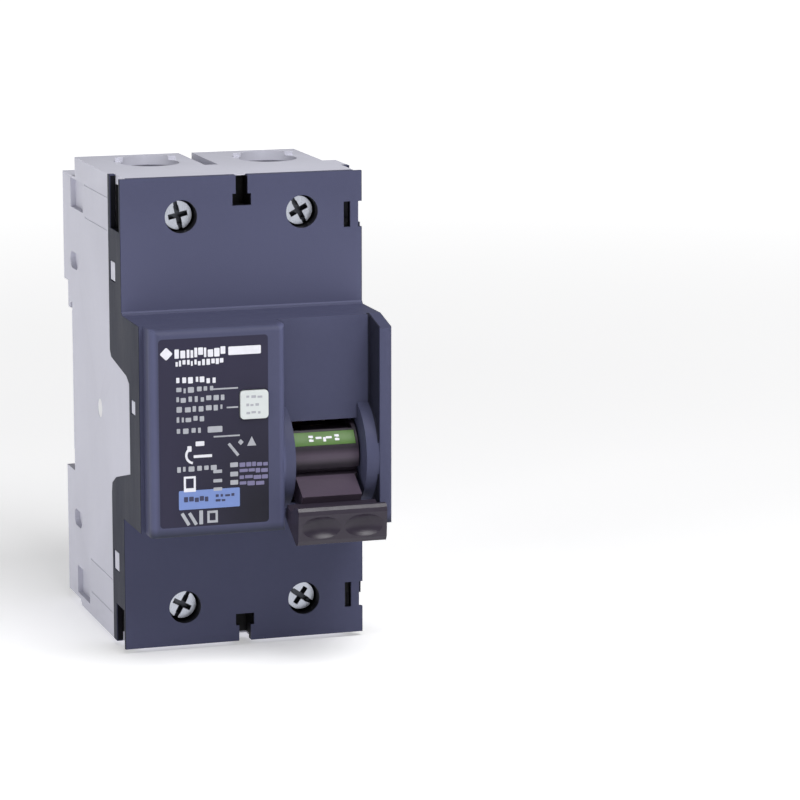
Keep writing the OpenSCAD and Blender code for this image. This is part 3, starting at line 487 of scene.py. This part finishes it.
class Marks:
    """Thin raised print on a surface that faces the front, drawn in millimetres as x and z."""

    def __init__(self, front, place=None):
        self.bm = bmesh.new()
        self.front = front
        self.place = place or (lambda x, y, z: (x, y, z))
        self.count = 0

    def outline(self, points):
        """A flat patch with the outline given anticlockwise, as seen from the front."""
        self.count += 1
        thick = PATCH_THICK + PATCH_STEP * (self.count % PATCH_CYCLE)
        back, face = ([self.bm.verts.new(Vector(self.place(x, y, z)) * MM) for x, z in points]
                      for y in (self.front, self.front - thick))
        self.bm.faces.new(face)
        self.bm.faces.new(list(reversed(back)))
        for i in range(len(points)):
            k = (i + 1) % len(points)
            self.bm.faces.new((face[k], face[i], back[i], back[k]))

    def bar(self, x, z, w, h, turn=0.0, soft=0.1):
        """A bar with its middle at x, z and its corners cut by a share of its smaller side."""
        cut = soft * min(w, h)
        a, b = w / 2, h / 2
        corners = [(-a + cut, -b), (a - cut, -b), (a, -b + cut), (a, b - cut),
                   (a - cut, b), (-a + cut, b), (-a, b - cut), (-a, -b + cut)]
        c, s = math.cos(math.radians(turn)), math.sin(math.radians(turn))
        self.outline([(x + u * c - v * s, z + u * s + v * c) for u, v in corners])

    def arc(self, x, z, r, width, a0, a1, steps=14):
        """A curved stroke from angle a0 to a1."""
        angles = [math.radians(a0 + (a1 - a0) * i / steps) for i in range(steps + 1)]
        outer = [(x + (r + width / 2) * math.cos(a), z + (r + width / 2) * math.sin(a))
                 for a in angles]
        inner = [(x + (r - width / 2) * math.cos(a), z + (r - width / 2) * math.sin(a))
                 for a in reversed(angles)]
        self.outline(outer + inner)

    def frame(self, x, z, w, h, width):
        """A rectangle drawn as four strokes."""
        for s in (-1, 1):
            self.bar(x, z + s * (h - width) / 2, w, width, soft=0)
            self.bar(x + s * (w - width) / 2, z, width, h - 2 * width, soft=0)

    def row(self, rng, x0, x1, z, h, shortest=0.5, longest=1.5, gap=0.35):
        """A row of plain dashes that stands for a line of small print."""
        x = x0
        while x < x1 - shortest:
            w = min(rng.uniform(shortest, longest), x1 - x)
            k = rng.uniform(0.7, 1.0)
            self.bar(x + w / 2, z + (1 - k) * h / 2 * rng.choice((-1, 1)), w, h * k)
            x += w + gap * rng.uniform(0.8, 1.6)

    def finish(self, name, mat, body):
        me = bpy.data.meshes.new(name)
        self.bm.normal_update()
        self.bm.to_mesh(me)
        self.bm.free()
        obj = bpy.data.objects.new(name, me)
        bpy.context.scene.collection.objects.link(obj)
        me.materials.append(mat.material)
        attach(obj, body)


def label_print():
    """Plain generic marks where the label has its print."""
    low, high = (Vector(v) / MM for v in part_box("rating_label"))
    front = low.y + SUNK
    left = low.x + 3.8
    rng = random.Random(5)

    white = Marks(front)
    white.bar(high.x - 5.1, 17.3, 7.1, 1.8, soft=0.08)
    white.bar(low.x + 1.7, 17.3, 2.0, 2.0, 45)
    white.row(rng, left - 0.3, -9.9, 17.3, 2.1, 0.5, 1.2, 0.22)
    white.row(rng, left - 0.1, -10.2, 15.2, 1.3, 0.3, 0.8, 0.24)
    white.row(rng, left, -11.8, 11.4, 1.5, 0.4, 1.2, 0.4)
    white.frame(-17.9, -10.6, 2.6, 3.0, 0.45)
    white.bar(-17.9, -12.1, 2.6, 0.7)
    white.arc(-16.9, -4.6, 1.7, 0.5, 120, 260)
    white.bar(-15.0, -4.9, 4.0, 0.6)
    white.bar(-17.9, -3.2, 0.9, 1.2)
    white.bar(-15.6, -2.2, 1.9, 1.0)
    white.finish("label_print", ink_mat, "case")

    faint = Marks(front)
    for z, x1 in ((9.4, -12.6), (7.4, -10.2), (5.3, -9.9), (3.2, -14.2), (0.6, -15.4),
                  (-7.6, -11.4)):
        faint.row(rng, left, x1, z, 1.25, 0.4, 1.3, 0.42)
    faint.bar(-12.3, 0.7, 3.2, 1.3)
    faint.outline([(-5.3, -3.3), (-3.3, -3.3), (-4.3, -1.3)])
    faint.bar(-6.7, -2.4, 0.9, 0.9, 45)
    faint.bar(-8.3, -3.9, 0.6, 3.4, 38)
    for x0, x1, z in ((-12.8, -7.2, 9.3), (-9.7, -7.2, 5.2), (-12.6, -6.9, -0.9)):
        faint.bar((x0 + x1) / 2, z, x1 - x0, 0.32)
    for z in (-7.2, -9.2, -11.0):
        faint.bar(-8.2, z, 1.7, 1.0)
        faint.bar(-11.8, z - 1.2, 1.9, 0.7)
    for x in (-18.9, -17.3):
        faint.bar(x, -18.3, 0.7, 3.0, 30)
    faint.bar(-15.5, -18.1, 0.8, 3.0)
    faint.frame(-13.0, -18.1, 2.3, 2.6, 0.5)
    faint.finish("label_faint_print", faint_ink_mat, "case")

    panel = Marks(front)
    for z in (-7.3, -8.7, -10.1, -11.4):
        panel.row(rng, -7.0, -0.8, z, 0.95, 0.8, 2.0, 0.18)
    panel.finish("label_grey_panel", grey_ink_mat, "case")

    band = Marks(front)
    band.bar(-13.65, -14.2, 13.3, 4.1, soft=0.04)
    band.finish("label_blue_band", blue_ink_mat, "case")
    dark = Marks(front - PATCH_THICK)
    dark.row(rng, -19.2, -13.9, -14.1, 1.2, 0.6, 1.2, 0.16)
    dark.row(rng, -12.3, -8.2, -13.6, 0.6, 0.5, 1.3, 0.3)
    dark.row(rng, -12.3, -10.2, -14.6, 0.6, 0.5, 1.3, 0.2)
    dark.finish("label_band_print", dark_ink_mat, "case")


def button_print():
    """Faint dashes on the test button."""
    low, high = (Vector(v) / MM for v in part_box("test_button"))
    middle_x, middle_z = (low.x + high.x) / 2, (low.z + high.z) / 2
    rng = random.Random(9)
    marks = Marks(low.y + SUNK)
    for k in (-1, 0, 1):
        marks.row(rng, middle_x - 1.8, middle_x + 1.9, middle_z + 1.7 * k, 0.6, 0.5, 1.2, 0.3)
    marks.finish("button_print", faint_ink_mat, "button")


def indicator_print():
    """Small pale dashes that follow the curve of the indicator strip."""
    low, high = (Vector(v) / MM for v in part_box("contact_indicator"))
    pin_low, pin_high = (Vector(v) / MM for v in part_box("toggle_pin"))
    axis_y, axis_z = (pin_low.y + pin_high.y) / 2, (pin_low.z + pin_high.z) / 2
    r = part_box("toggle_handle")[1][2] / MM - axis_z

    def wrap(x, y, z):
        """x along the drum, z as the distance round it and y as the depth below its surface."""
        a = math.radians(STRIP_ANGLE) - z / r
        return x, axis_y + (r - y) * math.cos(a), axis_z + (r - y) * math.sin(a)

    marks = Marks(SUNK, wrap)
    middle = (low.x + high.x) / 2
    for x in (-2.9, 2.9):
        marks.bar(middle + x, 0, 1.0, 1.4)
    for x in (-1.2, 1.1):
        marks.bar(middle + x, 0.1, 1.3, 0.5)
    marks.bar(middle + 0.1, -0.3, 0.6, 1.0)
    marks.finish("indicator_print", ink_mat, "toggle")


label_print()
button_print()
indicator_print()


# ---------------------------------------------------------------- stage

PAPER_DARK = (0.86, 0.86, 0.87)
PAPER_LIGHT = (0.9, 0.9, 0.91)
# How much the paper glows close to the object and far from it
FLOOR_GLOW = (0.34, 0.9)
# The distances from the middle, in metres, between which that glow changes
GLOW_SPAN = (0.12, 0.9)
FLOOR_HALF = 8.0
FLOOR_CELLS = 24
# How far the paper lies below the object, in metres
FLOOR_GAP = 0.0002
# Brightness of the surroundings from the horizon up to SKY_TOP
SKY = (0.26, 0.22)
SKY_TOP = 0.7
# The camera fitted to the photo: metres, degrees from straight in and below level, millimetres
CAMERA_AT = (-0.2066, -0.8006, 0.1497)
CAMERA_YAW = 17.84
CAMERA_DIP = 10.70
CAMERA_LENS = 164.4


def aim(obj, direction):
    """Point a light or a camera along a direction, upright."""
    obj.rotation_euler = direction.to_track_quat("-Z", "Y").to_euler()
    bpy.context.scene.collection.objects.link(obj)


def light(name, at, to, size, power):
    data = bpy.data.lights.new(name, "AREA")
    data.shape = "RECTANGLE"
    data.size, data.size_y = size
    data.energy = power
    obj = bpy.data.objects.new(name, data)
    obj.location = at
    aim(obj, Vector(to) - Vector(at))


def floor():
    """White paper just under the object's lowest point."""
    bm = bmesh.new()
    grid = bmesh.ops.create_grid(bm, x_segments=FLOOR_CELLS, y_segments=FLOOR_CELLS,
                                 size=FLOOR_HALF)
    for v in grid["verts"]:
        v.co.z = cad_box[0][2] - FLOOR_GAP
    me = bpy.data.meshes.new("floor")
    bm.to_mesh(me)
    bm.free()
    obj = bpy.data.objects.new("floor", me)
    bpy.context.scene.collection.objects.link(obj)
    m = Mat("floor_paper")
    away = m.node("ShaderNodeVectorMath", operation="LENGTH")
    m.feed(away.inputs[0], m.position)
    m.set(Base_Color=m.ramp(m.noise(3, 2), (0.3, PAPER_DARK), (0.7, PAPER_LIGHT)),
          Emission_Strength=m.range(away.outputs["Value"], *GLOW_SPAN, *FLOOR_GLOW),
          Emission_Color=(1, 1, 1), Roughness=0.9, Specular_IOR_Level=0.1)
    me.materials.append(m.material)


def surroundings():
    """Even white light that is a little weaker overhead."""
    world = bpy.data.worlds.new("studio")
    world.use_nodes = True
    sky = Graph(world.node_tree)
    background = sky.tree.nodes["Background"]
    up = sky.split(sky.node("ShaderNodeTexCoord").outputs["Generated"])["Z"]
    sky.feed(background.inputs["Color"], (1, 1, 1))
    sky.feed(background.inputs["Strength"], sky.range(up, 0.0, SKY_TOP, *SKY))
    bpy.context.scene.world = world


def camera():
    """The photo's viewpoint."""
    data = bpy.data.cameras.new("camera")
    data.sensor_width = 36
    data.lens = CAMERA_LENS
    data.clip_start = 0.05
    data.clip_end = 20
    obj = bpy.data.objects.new("camera", data)
    obj.location = CAMERA_AT
    yaw, dip = math.radians(CAMERA_YAW), math.radians(CAMERA_DIP)
    level = math.cos(dip)
    aim(obj, Vector((math.sin(yaw) * level, math.cos(yaw) * level, -math.sin(dip))))
    bpy.context.scene.camera = obj


floor()
surroundings()
light("key", (0.08, -0.32, 0.42), (0, -0.04, 0.01), (0.3, 0.3), 2.35)
light("left", (-0.75, -0.3, 0.22), (0, -0.03, 0), (0.22, 0.5), 1.85)
camera()
scene = bpy.context.scene
scene.view_settings.view_transform = "Standard"
